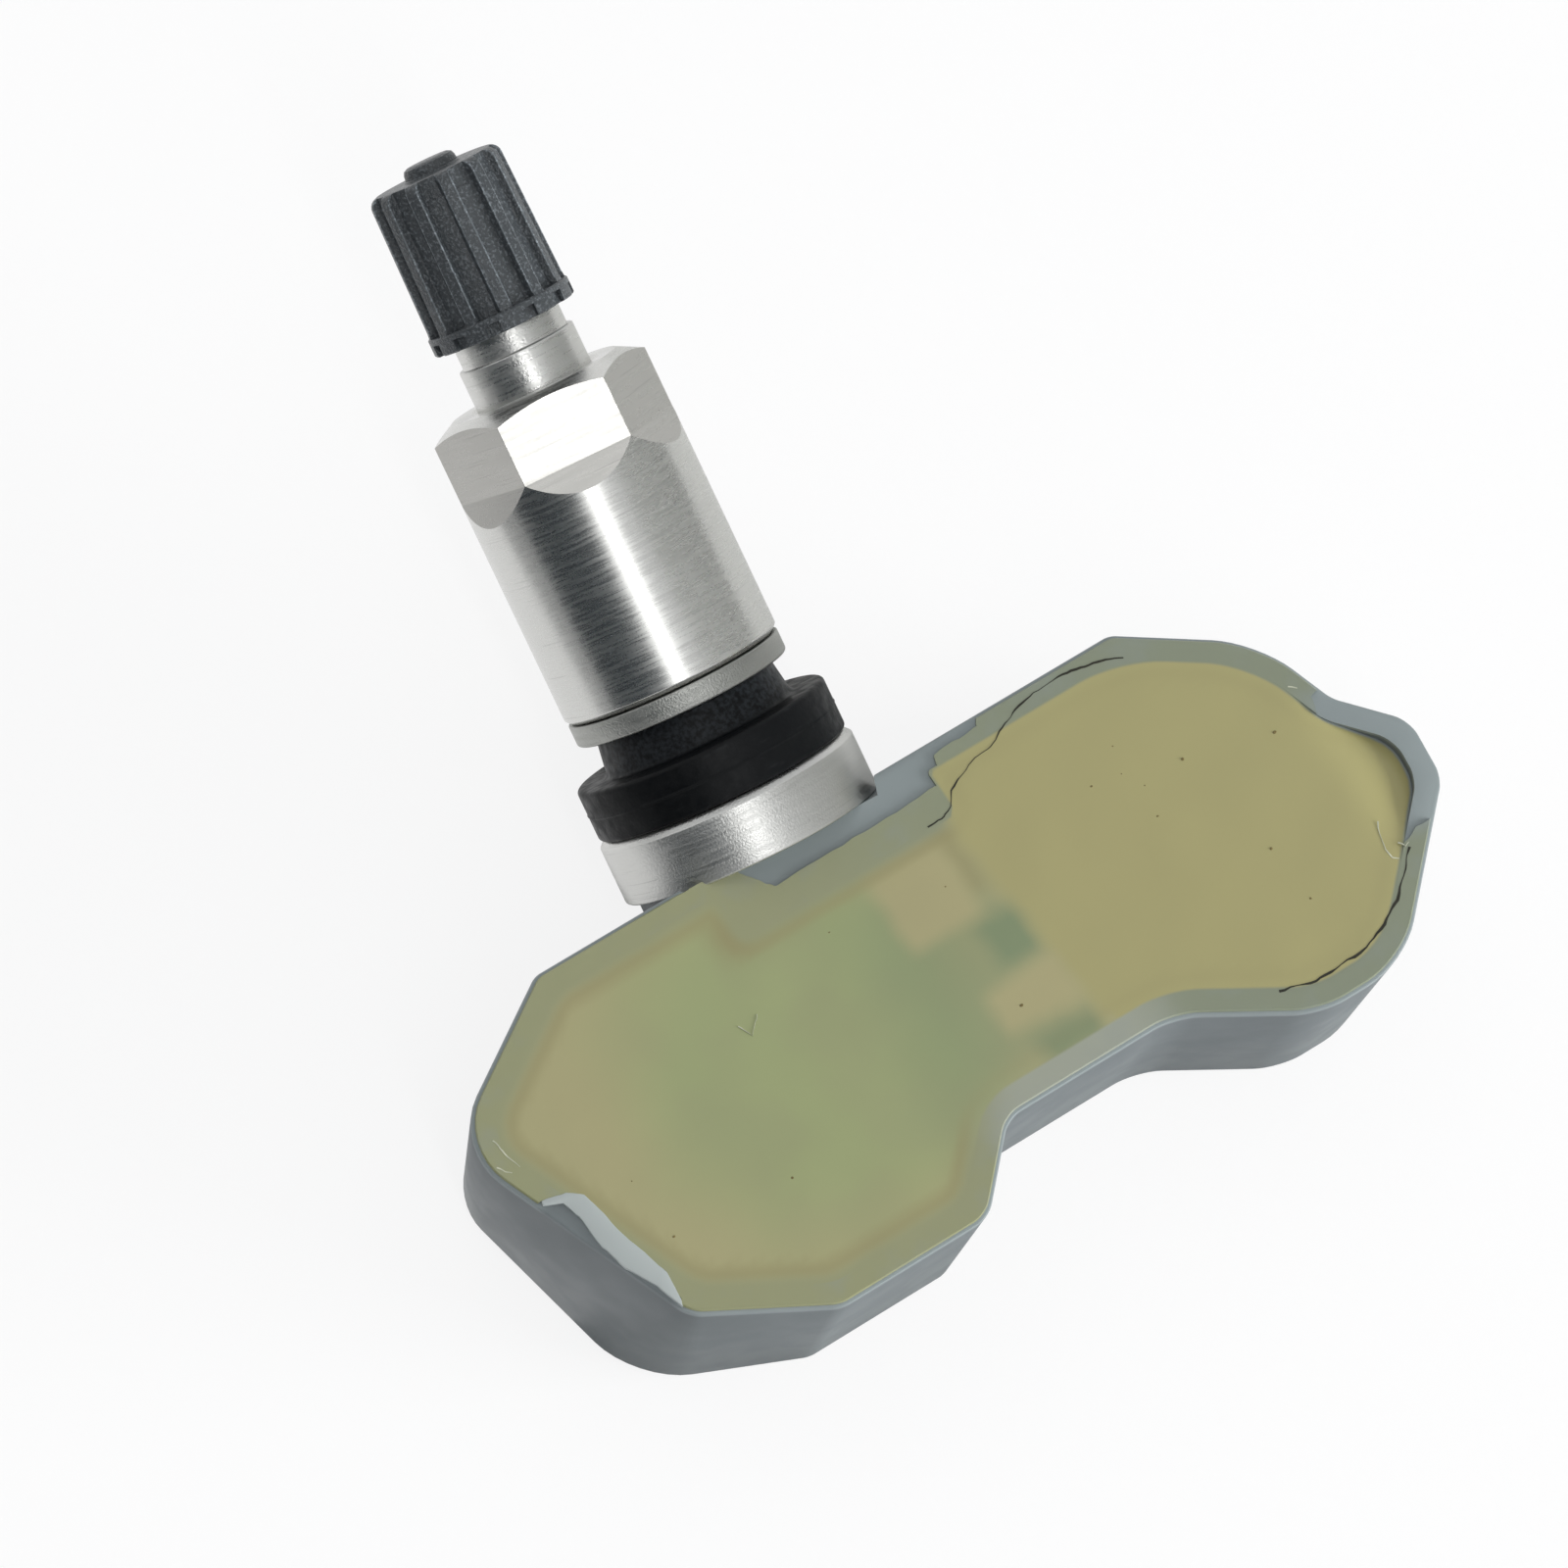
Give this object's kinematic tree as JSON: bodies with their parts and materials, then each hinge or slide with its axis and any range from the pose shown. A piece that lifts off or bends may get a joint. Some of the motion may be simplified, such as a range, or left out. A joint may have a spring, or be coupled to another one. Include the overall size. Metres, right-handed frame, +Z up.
{
  "type": "tyre pressure sensor",
  "caption": "Clamp-in tyre pressure sensor: potted two-lobed plastic cup on a leaning aluminium valve stem with collar, rubber grommet, washer, sleeve nut and fluted cap.",
  "frame": {"origin": "on the flat base it lies on, on the middle line of the waist, in line with the stem's seat", "axes": "+Z up out of the potted side, +Y towards the valve stem, +X towards the round lobe that holds the cell"},
  "size_m": [0.066, 0.0742, 0.0295],
  "materials": {
    "housing_plastic": "moulded, slightly glossy",
    "potting_resin": "cast, smooth",
    "stem_aluminium": "turned, satin",
    "nut_aluminium": "turned, satin",
    "washer_steel": "turned, satin",
    "grommet_rubber": "moulded, satin",
    "seal_rubber": "moulded, matt",
    "cap_plastic": "moulded, fine grain",
    "core_brass": "turned",
    "spring_steel": "drawn wire",
    "board_laminate": "lacquered laminate",
    "chip_plastic": "moulded, matt",
    "nickel_plate": "nickel plated",
    "ferrite": "sintered, matt",
    "copper_wire": "enamelled wire",
    "capacitor_brown": "moulded, matt",
    "capacitor_ceramic": "fired ceramic"
  },
  "bodies": {
    "sensor": {"housing": "housing_plastic", "potting_resin": "potting_resin", "valve_stem": "stem_aluminium", "grommet": "grommet_rubber", "core_body": "core_brass", "core_seal": "seal_rubber", "core_spring": "spring_steel", "circuit_board": "board_laminate", "pressure_sensor_chip": "chip_plastic", "port_seal": "seal_rubber", "transmitter_chip": "chip_plastic", "crystal": "nickel_plate", "coil_core": "ferrite", "coil_winding": "copper_wire", "storage_capacitor": "capacitor_brown", "capacitors": "capacitor_ceramic", "resistors": "chip_plastic", "battery_cell": "nickel_plate", "battery_positive_tab": "nickel_plate", "battery_negative_tab": "nickel_plate"},
    "washer": {"washer": "washer_steel"},
    "nut": {"hex_nut": "nut_aluminium"},
    "cap_disc": {"cap_seal": "seal_rubber"},
    "cap": {"valve_cap": "cap_plastic"},
    "pin": {"core_pin": "core_brass", "pin_seal": "seal_rubber"}
  },
  "joints": [
    {"name": "nut_turn", "type": "hinge", "parent": "washer", "child": "nut", "pos_m": [0.00058, 0.02404, 0.0131], "axis": [0.0489, 0.9335, 0.3551], "range_deg": [0, 1800]},
    {"name": "nut_lift", "type": "slide", "parent": "sensor", "child": "washer", "axis": [0.0489, 0.9335, 0.3551], "range_m": [0, 0.004]},
    {"name": "cap_turn", "type": "hinge", "parent": "cap_disc", "child": "cap", "pos_m": [0.00177, 0.04682, 0.02177], "axis": [0.0489, 0.9335, 0.3551], "range_deg": [0, 3600]},
    {"name": "cap_lift", "type": "slide", "parent": "sensor", "child": "cap_disc", "axis": [0.0489, 0.9335, 0.3551], "range_m": [0, 0.00794]},
    {"name": "pin_press", "type": "slide", "parent": "sensor", "child": "pin", "axis": [0.0489, 0.9335, 0.3551], "range_m": [-0.0012, 0], "stiffness_N_per_m": 800, "deforming": ["core_spring"]}
  ],
  "couplings": [
    {"joint": "nut_turn", "follows": "nut_lift", "rad_per_m": 7854},
    {"joint": "cap_turn", "follows": "cap_lift", "rad_per_m": 7913.3}
  ]
}
